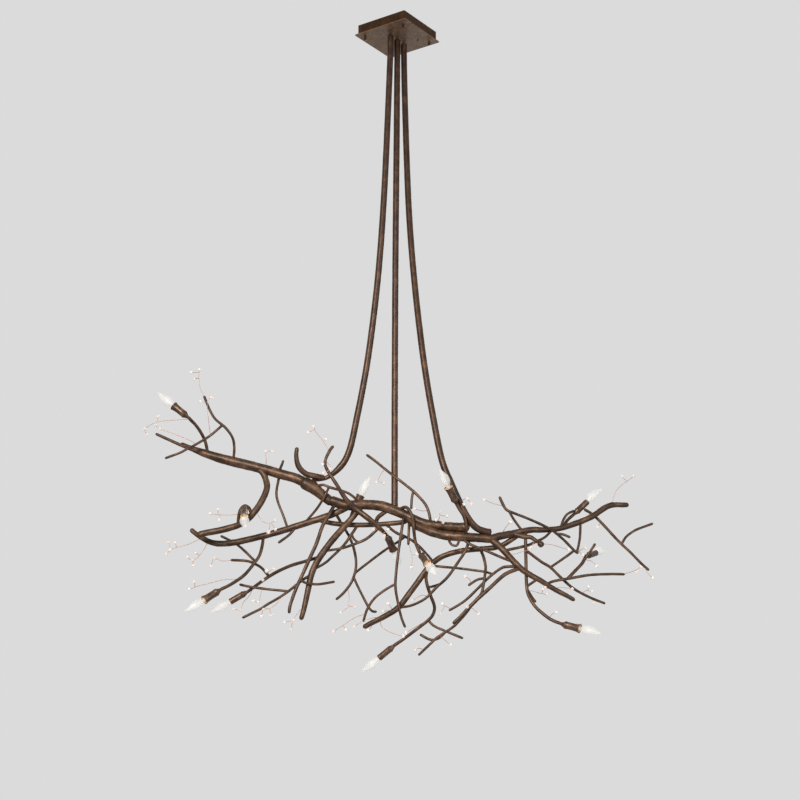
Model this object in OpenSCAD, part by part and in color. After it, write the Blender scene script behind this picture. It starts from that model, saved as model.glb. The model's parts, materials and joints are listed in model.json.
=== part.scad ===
/* [Canopy] */
// Side of the square plate under the ceiling
plate_side = 218; // [190:1:250]
// Thickness of the plate
plate_t = 3; // [2:0.5:5]
// How far the plate stands out past the box
plate_lip = 8; // [6:1:15]
// Height of the box between ceiling and plate
box_h = 36; // [30:1:44]
// Thickness of the box walls
box_wall = 2; // [1:0.5:3]
// Turn of the canopy about the vertical
canopy_turn = 55; // [0:5:90]
// Side of the bracket plate that is bolted to the ceiling
bracket_side = 176; // [172:1:180]
// Thickness of the bracket plate
bracket_t = 2.5; // [2:0.5:4]
// Width of the way for the supply wires
wire_way_d = 34; // [20:1:40]
// Distance between the two ceiling bolts
bolt_span = 88.9; // [80:0.1:100]
// Width of a ceiling bolt's hole
bolt_hole_d = 5; // [4:0.1:6]

/* [Studs and nuts] */
// Thickness of the studs that hold the plate up
stud_d = 5; // [4:0.5:6]
// Distance from a stud to the plate's edges
stud_inset = 27; // [25:1:30]
// Width of a ball nut
ball_nut_d = 11; // [9:0.5:14]
// Length of a ball nut's neck
nut_neck = 6; // [4:0.5:8]
// Play between a stud and its holes
stud_play = 0.5; // [0.3:0.1:1]

/* [Stems] */
// Thickness of the three hanging tubes
stem_d = 22; // [18:1:25]
// Wall of the hanging tubes
stem_wall = 1.5; // [1:0.25:2.5]
// Distance between neighbouring tubes at the plate
stem_pitch = 42; // [36:1:50]
// Width of the collar between a tube and the plate
collar_d = 25; // [20:1:30]
// Height of that collar
collar_h = 4; // [3:0.5:8]
// Thickness of the threaded nipple above each tube
nipple_d = 10; // [8:0.5:12]
// Bore of the nipple for the lamp wires
nipple_bore = 7; // [5:0.5:7]
// Width across the flats of a lock nut
locknut_af = 16; // [14:1:20]
// Height of a lock nut
locknut_h = 4; // [3:0.5:6]

/* [Branches] */
// Thickness of the sleeve where the thick tubes meet
sleeve_d = 42; // [38:1:46]
// Thickness of the thick level tubes
trunk_d = 33; // [28:1:36]
// Thickness of the limbs at their thick end
limb_d = 21; // [17:1:23]
// Thickness of the arms that carry the lamps
arm_d = 11; // [9:0.5:12]
// Thickness of the twigs
twig_d = 9.5; // [7:0.5:11]
// How much the free tips taper, as a share of the thickness
tip_share = 0.9; // [0.5:0.05:1]

/* [Lamps] */
// Length of a lamp cup from its stem to its mouth
cup_len = 64; // [62:1:72]
// Length of the cone behind a lamp cup
cup_cone = 16; // [12:1:18]
// How much wider a flared cup's mouth is than its tube
cup_flare = 6; // [4:0.5:10]
// Thickness of a lamp cup's wall
cup_wall = 1.5; // [1:0.1:2]
// How much thicker the cast wall of a flared cup is
cast_extra = 1.5; // [0.5:0.1:2]
// Thickness of the insulating sleeve's wall
insert_wall = 2; // [1.6:0.1:2.5]
// Thickness of the sleeve's floor, which holds the terminals
insert_floor = 19; // [17:0.5:19]
// Thickness of the threaded brass shell
shell_t = 0.5; // [0.3:0.1:0.8]
// Height of the contact in the middle of the floor
contact_h = 1.7; // [1:0.1:2.5]
// Play of each ring inside the next one
ring_play = 0.2; // [0.1:0.05:0.3]
// Thickness of a bulb's threaded base
base_d = 11.9; // [11.5:0.1:12]
// Length of a bulb's base
base_len = 17; // [15:0.5:18]
// Width of a bulb's glass
bulb_d = 32; // [28:1:34]
// Length of a bulb's glass
bulb_len = 84; // [78:1:90]
// Thickness of the glass
glass_t = 1; // [0.8:0.1:1.5]

/* [Crystals] */
// Thickness of the copper wire
wire_d = 1.6; // [1.2:0.1:2.5]
// Width of a crystal bead
bead_d = 11; // [8:0.5:13]
// Width of a large crystal bead
big_bead_d = 15; // [12:0.5:18]

/* [Hidden] */
bronze = "#4a3528";
copper = "#cf9f86";
steel = "#a8abad";
brass = "#c9a04e";

// The front view is drawn in the middle plane as [right of the centre, drop
// below the ceiling, depth]. A point at another depth slides along its sight
// line, so that it keeps its place in the front view.
// The drops are counted from the lower part of the canopy box.
view_far = 5230;
view_drop = 2703;
drawn_top = 8;
view_side = 11;

function place(p) =
    let (t = (view_far + p[2]) / view_far)
    [view_side + (p[0] - view_side) * t, p[2], (view_drop - drawn_top - p[1]) * t - view_drop];
function front(q) =
    let (t = (view_far + q[1]) / view_far)
    [view_side + (q[0] - view_side) / t, view_drop - drawn_top - (q[2] + view_drop) / t];

function unit(v) = v / norm(v);
function blend(a, b, c, d, u) =
    ((2 * b) + (c - a) * u + (2 * a - 5 * b + 4 * c - d) * u * u
        + (3 * b - a - 3 * c + d) * u * u * u) / 2;
// A smooth line through the points, with some steps between each two
function smooth(p, steps) =
    let (n = len(p) - 1, e = concat([2 * p[0] - p[1]], p, [2 * p[n] - p[n - 1]]))
    concat([for (i = [0 : n - 1], k = [0 : steps - 1])
        blend(e[i], e[i + 1], e[i + 2], e[i + 3], k / steps)], [p[n]]);
function drawn(points, steps = 1) = smooth([for (p = points) place(p)], steps);

// The point of a line that lies nearest to a place in the front view
on_steps = 6;
function on(line, x, drop) =
    let (fine = [for (i = [1 : len(line) - 1], t = [0 : on_steps])
            line[i - 1] + (line[i] - line[i - 1]) * t / on_steps],
        gaps = [for (q = fine) norm(front(q) - [x, drop])])
    fine[search(min(gaps), gaps)[0]];
// A line that starts on one line, runs through its points and may end on another
function from(carrier, points, steps = 1) =
    let (s = on(carrier, points[0][0], points[0][1]))
    smooth(concat([s], [for (i = [1 : len(points) - 1]) place(points[i])]), steps);
function link(first, points, last, steps = 1) =
    let (n = len(points) - 1)
    smooth(concat([on(first, points[0][0], points[0][1])],
        [for (i = [1 : 1 : n - 1]) place(points[i])],
        [on(last, points[n][0], points[n][1])]), steps);

function square_to(t, u) = unit(u - (u * t) * t);
// Directions along a line, and a side direction carried along it without twist
function along(line) =
    let (n = len(line) - 1)
    [for (i = [0 : n]) unit(line[min(i + 1, n)] - line[max(i - 1, 0)])];
function sideways(t) =
    [for (i = 0, u = square_to(t[0], abs(t[0][1]) > 0.9 ? [1, 0, 0] : [0, 1, 0]);
        i < len(t);
        i = i + 1, u = i < len(t) ? square_to(t[i], u) : u) u];

// Rings of points round a line, with its thickness given at the rings
function rings(line, sizes, sides, less = 0) =
    let (t = along(line), u = sideways(t), n = len(line), last = len(sizes) - 1)
    [for (i = [0 : n - 1])
        let (s = i / (n - 1) * last, k = min(floor(s), last - 1),
            r = (sizes[k] + (sizes[k + 1] - sizes[k]) * (s - k)) / 2 - less,
            v = cross(t[i], u[i]))
        for (j = [0 : sides - 1])
            line[i] + r * (u[i] * cos(360 * j / sides) + v * sin(360 * j / sides))];
function skin(n, sides) =
    [for (i = [0 : n - 2], j = [0 : sides - 1])
        let (a = i * sides + j, b = i * sides + (j + 1) % sides)
        each [[a, a + sides, b], [b, a + sides, b + sides]]];

module bar(line, sizes, sides = 6) {
    n = len(line);
    caps = [[for (j = [0 : sides - 1]) j],
        [for (j = [sides - 1 : -1 : 0]) (n - 1) * sides + j]];
    polyhedron(rings(line, sizes, sides), concat(skin(n, sides), caps));
}
module tube(line, sizes, sides, wall) {
    n = len(line);
    m = n * sides;
    lining = [for (f = skin(n, sides)) [f[2] + m, f[1] + m, f[0] + m]];
    rims = [for (j = [0 : sides - 1])
        let (a = j, b = (j + 1) % sides, c = (n - 1) * sides + a, d = (n - 1) * sides + b)
        each [[a, b, b + m], [a, b + m, a + m], [c, d + m, d], [c, c + m, d + m]]];
    polyhedron(concat(rings(line, sizes, sides), rings(line, sizes, sides, wall)),
        concat(skin(n, sides), lining, rims));
}

// Thick tubes
hung = box_h + plate_t;
function stem_top(k) = [k * stem_pitch * cos(canopy_turn), k * stem_pitch * sin(canopy_turn), -hung];
function stem_line(k, points, steps) =
    smooth(concat([stem_top(k) - [0, 0, 2], stem_top(k) - [0, 0, 60]], [for (p = points) place(p)]), steps);

trunk_left_line = drawn([[-724, 1515, 34], [-690, 1531, 31], [-642, 1549, 26], [-582, 1568, 22],
    [-521, 1583, 18], [-440, 1604, 12], [-389, 1619, 8], [-340, 1633, 4], [-305, 1648, 0]], 2);
trunk_rod_line = drawn([[-811, 1481, 8], [-743, 1512, 14], [-700, 1531, 20], [-660, 1546, 24],
    [-620, 1558, 24]]);
sleeve_line = drawn([[-322, 1643, 0], [-289, 1659, 0], [-262, 1679, 0], [-238, 1699, 0],
    [-211, 1719, 0]], 2);
trunk_center_line = drawn([[-228, 1706, 0], [-171, 1724, -2], [-132, 1723, -4], [-89, 1723, -4],
    [-45, 1729, -6], [-12, 1741, -10], [21, 1755, -14], [51, 1770, -20], [90, 1786, -30],
    [130, 1793, -45], [176, 1797, -62], [215, 1799, -76], [238, 1796, -86]], 2);
trunk_right_line = from(trunk_center_line, [[27, 1765], [60, 1790, -30], [93, 1806, -46],
    [126, 1818, -58], [166, 1827, -70], [209, 1830, -78], [258, 1833, -82], [308, 1837, -85],
    [341, 1828, -84], [391, 1818, -78], [441, 1808, -68], [490, 1807, -55], [540, 1802, -40],
    [590, 1786, -22], [640, 1766, 0], [674, 1743, 15], [700, 1728, 26], [725, 1723, 36],
    [768, 1724, 50]]);
trunk_lower_line = from(trunk_right_line, [[308, 1837], [331, 1856, -88], [352, 1877, -92],
    [383, 1912, -98], [418, 1945, -104], [470, 1975, -110], [509, 2000, -114],
    [560, 2028, -118], [581, 2041, -120]], 2);
stem_left_line = stem_line(-1, [[-34, 345, -32], [-47, 650, -28], [-67, 940, -22],
    [-100, 1225, -14], [-137, 1435, -8], [-160, 1540, -4], [-190, 1595, 0], [-236, 1632, 4],
    [-285, 1640, 6]], 2);
stem_center_line = stem_line(0, [[-2, 400, 0], [-6, 900, 0], [-8, 1400, 0], [-8, 1732, -8]], 1);
stem_right_line = stem_line(1, [[27, 270, 30], [39, 650, 10], [59, 940, -15], [90, 1225, -45],
    [123, 1435, -70], [150, 1573, -88], [176, 1641, -94], [205, 1709, -95], [230, 1760, -95],
    [258, 1797, -90], [285, 1811, -86], [312, 1816, -84]], 2);
stem_hook_line = from(stem_left_line, [[-240, 1630], [-275, 1626, -8], [-300, 1620, -12],
    [-318, 1607, -16], [-331, 1588, -20], [-337, 1560, -26], [-335, 1528, -30]]);

// Limbs
hook_limb_line = from(trunk_left_line, [[-478, 1597], [-450, 1613, 6], [-436, 1642, 0], [-434, 1672, -10],
    [-454, 1719, -22], [-486, 1763, -32], [-518, 1788, -40], [-551, 1800, -44],
    [-591, 1810, -46], [-633, 1818, -46], [-659, 1825, -44]]);
low_left_line = from(trunk_center_line, [[-155, 1731], [-204, 1751, 10], [-250, 1768, 18],
    [-320, 1791, 26], [-402, 1817, 30], [-484, 1838, 30], [-555, 1852, 27], [-606, 1851, 22],
    [-650, 1830, 16], [-683, 1805, 10]]);
crossing_line = drawn([[-213, 1523, -40], [-227, 1542, -44], [-240, 1576, -46],
    [-233, 1605, -46], [-199, 1658, -42], [-172, 1702, -32], [-135, 1738, -21],
    [-95, 1769, -26], [-60, 1800, -20], [-33, 1826, 8]]);
drop_limb_line = from(trunk_center_line, [[-115, 1738], [-155, 1775, -4], [-178, 1800, -6],
    [-220, 1850, -14], [-259, 1906, -22], [-281, 1955, -28], [-293, 2015, -32],
    [-306, 2077, -34], [-314, 2104, -34]]);
front_drop_line = from(trunk_center_line, [[-208, 1724], [-227, 1760, -18], [-247, 1796, -24],
    [-266, 1853, -34], [-289, 1906, -42], [-310, 1955, -50], [-333, 2008, -56],
    [-349, 2057, -58], [-352, 2083, -58]]);
tie_line = link(low_left_line, [[-262, 1774], [-221, 1784, 20], [-171, 1790, 22],
    [-122, 1791, 22], [-72, 1790, 18], [-22, 1786, 8], [20, 1781, -4], [46, 1770]],
    trunk_center_line);
tie_fork_line = link(trunk_center_line, [[-26, 1744], [-46, 1752, 2], [-64, 1767, 10],
    [-76, 1788]], tie_line);
long_limb_line = from(trunk_right_line, [[413, 1814], [357, 1853, -64], [324, 1866, -56],
    [274, 1871, -44], [208, 1878, -28], [149, 1896, -12], [109, 1926, 0], [79, 1965, 6],
    [40, 2018, 8], [4, 2064, 4], [-38, 2091, 0], [-87, 2116, -4], [-110, 2129, -6]]);
low_right_line = from(trunk_lower_line, [[402, 1936], [355, 1955, -104], [306, 1998, -104],
    [253, 2046, -100], [206, 2095, -94], [182, 2117, -90]]);

// Lamps: tail of the cup, a place that its mouth looks at, and whether it is flared
lamps = [
    [[-704, 1424, -42], [-743, 1393, -38], true],
    [[-508, 1733, -55], [-506, 1766, -109], true],
    [[-579, 2006, -62], [-633, 2041, -82], true],
    [[-491, 2013, 76], [-550, 2048, 80], false],
    [[-148, 1750, 27], [-122, 1694, 27], true],
    [[197, 1719, -124], [174, 1670, -155], true],
    [[77, 1886, -108], [100, 1919, -152], true],
    [[-10, 2188, 74], [-54, 2224, 84], false],
    [[535, 2117, -142], [594, 2132, -167], true],
    [[588, 1753, 6], [638, 1706, 26], false],
    [[624, 1894, -41], [648, 1886, -1], false],
    [[-33, 1826, 6], [-14, 1869, 46], true]];
function tail(k) = place(lamps[k][0]);
function facing(k) = unit(place(lamps[k][1]) - tail(k));

// Arms run into the tail of their cup and end in the cup's own direction
arm_sunk = 5;
function arm(carrier, points, k, steps = 1) =
    let (s = carrier == undef ? place(points[0]) : on(carrier, points[0][0], points[0][1]))
    smooth(concat([s], [for (i = [1 : 1 : len(points) - 1]) place(points[i])],
        [tail(k) - facing(k) * arm_sunk, tail(k) + facing(k) * arm_sunk]), steps);

long_drop_line = arm(long_limb_line, [[98, 1938], [95, 1965, 8], [99, 1991, 14], [110, 2025, 24],
    [122, 2060, 34], [118, 2085, 42], [102, 2105, 48], [59, 2138, 60], [16, 2170, 70]], 7);
fall_line = from(trunk_right_line, [[421, 1814], [424, 1845, -88], [424, 1905, -86],
    [424, 1945, -88], [425, 1995, -92], [431, 2025, -98], [452, 2061, -110], [487, 2093, -124],
    [510, 2107, -132]]);
sprout_line = from(trunk_lower_line, [[490, 1986], [512, 1978, -98], [568, 1968, -80],
    [634, 1957, -62], [706, 1954, -46], [748, 1955, -38]]);
arm_lines = [
    arm(trunk_left_line, [[-628, 1545], [-643, 1508, 10], [-660, 1475, -8], [-677, 1451, -24],
        [-690, 1438, -34]], 0),
    [for (p = [[-483, 1752, -31], [-492, 1733, -44], [-506, 1727, -54], [-518, 1738, -54],
        [-524, 1758, -50], [-526, 1792, -42]]) place(p)],
    arm(low_left_line, [[-445, 1826], [-443, 1850, 18], [-452, 1890, -4], [-469, 1917, -18],
        [-501, 1957, -38], [-543, 1987, -52]], 2),
    arm(drop_limb_line, [[-256, 1896], [-302, 1912, -6], [-351, 1927, 14], [-400, 1950, 36],
        [-439, 1975, 54], [-470, 1998, 68]], 3),
    arm(tie_line, [[-152, 1790], [-156, 1775, 27]], 4),
    arm(trunk_right_line, [[229, 1830], [229, 1796, -106], [222, 1764, -117], [208, 1740, -120]], 5),
    arm(trunk_center_line, [[4, 1735], [27, 1731, -34], [44, 1748, -44], [52, 1772, -50],
        [55, 1805, -62], [60, 1845, -84], [68, 1868, -98]], 6),
    long_drop_line,
    concat(fall_line, [tail(8) + facing(8) * arm_sunk]),
    arm(trunk_right_line, [[546, 1800], [563, 1776, -18]], 9),
    arm(sprout_line, [[562, 1968], [586, 1942, -66], [609, 1918, -52]], 10)];

// Twigs that grow from the thick tubes, the limbs and the arms
twig_fork = from(trunk_left_line, [[-546, 1566], [-545, 1530, -5], [-552, 1495, -20],
    [-575, 1462, -32], [-611, 1431, -36], [-632, 1397, -40], [-652, 1350, -44]]);
twig_back = link(trunk_left_line, [[-381, 1600], [-388, 1605, 24], [-396, 1645, 30],
    [-401, 1682, 34], [-395, 1715, 36], [-376, 1762, 34], [-364, 1806]], low_left_line);
twig_over = link(sleeve_line, [[-275, 1665], [-249, 1656, -18], [-222, 1665, -22],
    [-172, 1680, -20], [-148, 1694, -16], [-118, 1723]], trunk_center_line);
twig_bow = from(drop_limb_line, [[-281, 1952], [-314, 1977, -34], [-356, 2011, -28],
    [-388, 2033, -20], [-421, 2052, -12], [-447, 2069, -6], [-479, 2085, -2], [-505, 2098, 0]]);
left_twig_lines = [twig_fork, twig_back, twig_over, twig_bow,
    from(low_left_line, [[-338, 1798], [-355, 1823, 20], [-392, 1851, 8]]),
    from(arm_lines[2], [[-467, 1912], [-483, 1896, 4], [-504, 1876, 18], [-523, 1860, 30],
        [-547, 1845, 39], [-583, 1827, 42]]),
    from(arm_lines[3], [[-419, 1962], [-445, 1934, 24], [-468, 1920, -3], [-489, 1912, -8],
        [-516, 1909, -14], [-548, 1908, -22]])];

twig_long_fall = from(low_left_line, [[-204, 1751], [-181, 1791, 34], [-156, 1833, 42],
    [-139, 1883, 50], [-135, 1930, 54], [-148, 1978, 54], [-175, 2016, 50], [-200, 2038, 46]]);
twig_front_fall = from(trunk_center_line, [[22, 1757], [14, 1816, -26], [4, 1886, -34],
    [-4, 1959, -36], [-5, 2000, -36], [3, 2048, -32], [14, 2096, -28], [27, 2129, -24]]);
twig_cross = from(trunk_center_line, [[113, 1790], [100, 1733, -32], [67, 1690, -26],
    [28, 1656, -20], [-22, 1617, -16], [-73, 1575, -18], [-103, 1553, -20]]);
twig_low = link(tie_line, [[-39, 1789], [-6, 1815, 18], [27, 1830, 20], [54, 1846, 20],
    [77, 1866, 18], [100, 1891, 12], [119, 1918]], long_limb_line);
center_twig_lines = [twig_long_fall, twig_front_fall, twig_cross, twig_low,
    from(trunk_center_line, [[41, 1765], [39, 1810, -32], [37, 1858, -36]]),
    link(crossing_line, [[-62, 1800], [-95, 1833, -12], [-128, 1850, -6], [-180, 1868, -10],
        [-236, 1880]], drop_limb_line),
    link(tie_line, [[-134, 1791], [-150, 1822, 12], [-177, 1860, 4], [-216, 1899, -8],
        [-239, 1919, -16], [-268, 1937]], drop_limb_line),
    link(trunk_right_line, [[212, 1832], [242, 1856, -88], [298, 1879, -94], [350, 1902, -99],
        [385, 1914]], trunk_lower_line)];

twig_right_fall = link(trunk_right_line, [[242, 1831], [225, 1877, -72], [198, 1919, -64],
    [165, 1965, -54], [129, 1998, -46], [93, 2034, -36], [47, 2057, -20], [8, 2064]],
    long_limb_line);
twig_lower = from(trunk_lower_line, [[398, 1930], [360, 1930, -88], [340, 1936, -80],
    [303, 1964, -68], [263, 2003, -56], [220, 2043, -46], [169, 2074, -34]]);
twig_down = from(long_limb_line, [[272, 1871], [284, 1896, -54], [291, 1930, -66],
    [288, 1960, -76], [284, 1985, -78], [276, 2018, -80], [256, 2041, -72], [229, 2077, -62],
    [206, 2104, -54], [180, 2129, -46], [131, 2161, -34], [108, 2182, -28], [69, 2219, -20]]);
twig_arrow = from(arm_lines[8], [[424, 1878], [475, 1914, -74], [504, 1932, -66],
    [542, 1970, -60], [580, 2003, -58], [629, 2030, -58], [681, 2051, -60]]);
twig_high = drawn([[340, 1695, -100], [349, 1717, -98], [361, 1738, -95], [379, 1748, -90],
    [441, 1773, -76], [506, 1805, -60], [545, 1836, -58], [584, 1876, -52], [597, 1886, -50]]);
twig_far = drawn([[620, 1738, 15], [647, 1755, 20], [682, 1790, 16], [727, 1841, 6],
    [768, 1882, 0], [806, 1922, -4], [828, 1942, -6]]);
right_twig_lines = [twig_right_fall, twig_lower, twig_down, twig_arrow, twig_high, twig_far,
    sprout_line,
    link(trunk_lower_line, [[352, 1877], [380, 1871, -86], [407, 1865, -78], [433, 1858, -70],
        [460, 1846, -64], [489, 1831, -58], [516, 1804]], trunk_right_line)];

// Small twigs that grow from other twigs
twig_left_cross = from(twig_fork, [[-587, 1452], [-626, 1487, -36], [-672, 1517, -26],
    [-700, 1532, -16], [-725, 1546, -14], [-758, 1559, -14], [-776, 1566, -12]]);
twig_bow_side = from(twig_bow, [[-357, 2011], [-382, 2008, -24], [-415, 2005, -18],
    [-455, 2000, -12], [-487, 1995, -8], [-517, 1988, -6]]);
twig_front_side = from(twig_front_fall, [[-6, 1988], [-40, 2007, -30], [-74, 2034, -24],
    [-98, 2071, -16], [-110, 2111, -8]]);
twig_down_side = from(twig_down, [[285, 1968], [263, 1973, -76], [233, 1992, -80]]);
side_twig_lines = [twig_left_cross, twig_bow_side, twig_front_side, twig_down_side,
    link(trunk_right_line, [[166, 1827], [176, 1852, -86], [188, 1860, -92], [199, 1857, -90],
        [206, 1832]], trunk_right_line),
    link(twig_over, [[-225, 1664], [-238, 1689, -26], [-251, 1713, -18], [-271, 1743, 4],
        [-303, 1786]], low_left_line),
    from(front_drop_line, [[-317, 1973], [-300, 1983, -50], [-278, 1987, -45],
        [-251, 1987, -40], [-204, 1979, -32]]),
    link(center_twig_lines[6], [[-152, 1824], [-142, 1838, 4], [-128, 1850]], center_twig_lines[5]),
    link(twig_low, [[27, 1830], [2, 1848, 68], [-25, 1865, 88], [-55, 1886, 80],
        [-111, 1929, 60], [-138, 1955]], twig_long_fall),
    from(twig_long_fall, [[-143, 1966], [-127, 1998, 44], [-110, 2031, 34], [-94, 2061, 26],
        [-80, 2076, 20], [-66, 2077, 14]]),
    from(twig_cross, [[51, 1676], [49, 1702, -26], [47, 1738, -30]]),
    from(trunk_left_line, [[-392, 1604], [-385, 1588, -6], [-380, 1572, -8]]),
    from(arm_lines[10], [[611, 1915], [622, 1900, -58], [636, 1880, -58], [654, 1853, -56]]),
    link(twig_right_fall, [[139, 1988], [116, 1995, -20], [99, 1996]], long_drop_line),
    from(long_drop_line, [[99, 2107], [121, 2124, 42], [164, 2143, 32], [215, 2164, 22]]),
    link(long_limb_line, [[112, 1926], [159, 1931, -14], [192, 1934, -26], [241, 1940, -38],
        [290, 1947, -50], [318, 1952]], twig_lower),
    from(twig_down, [[157, 2146], [135, 2164, -30], [108, 2168, -22], [74, 2151, -12]]),
    link(twig_arrow, [[505, 1932], [557, 1896, -58], [584, 1877]], twig_high),
    link(twig_high, [[369, 1744], [385, 1770, -86], [400, 1792, -80], [413, 1814]],
        trunk_right_line),
    from(twig_high, [[524, 1818], [549, 1823, -66], [572, 1833, -72]]),
    link(trunk_right_line, [[603, 1781], [605, 1815, -26], [602, 1843, -36], [592, 1882]],
        twig_high),
    from(twig_far, [[738, 1852], [755, 1832, 10], [772, 1818, 16], [795, 1805, 22],
        [847, 1786, 34]]),
    from(arm_lines[8], [[427, 2005], [440, 2028, -88], [454, 2047, -84]]),
    link(trunk_lower_line, [[462, 1970], [444, 1982, -102], [425, 1995]], arm_lines[8])];
stub_line = from(trunk_right_line, [[380, 1820], [418, 1830, -90], [440, 1832, -94],
    [456, 1842, -97], [474, 1855, -100]]);
bow_line = from(trunk_right_line, [[541, 1802], [551, 1773, -34], [565, 1754, -22],
    [588, 1743, 2]]);

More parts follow.
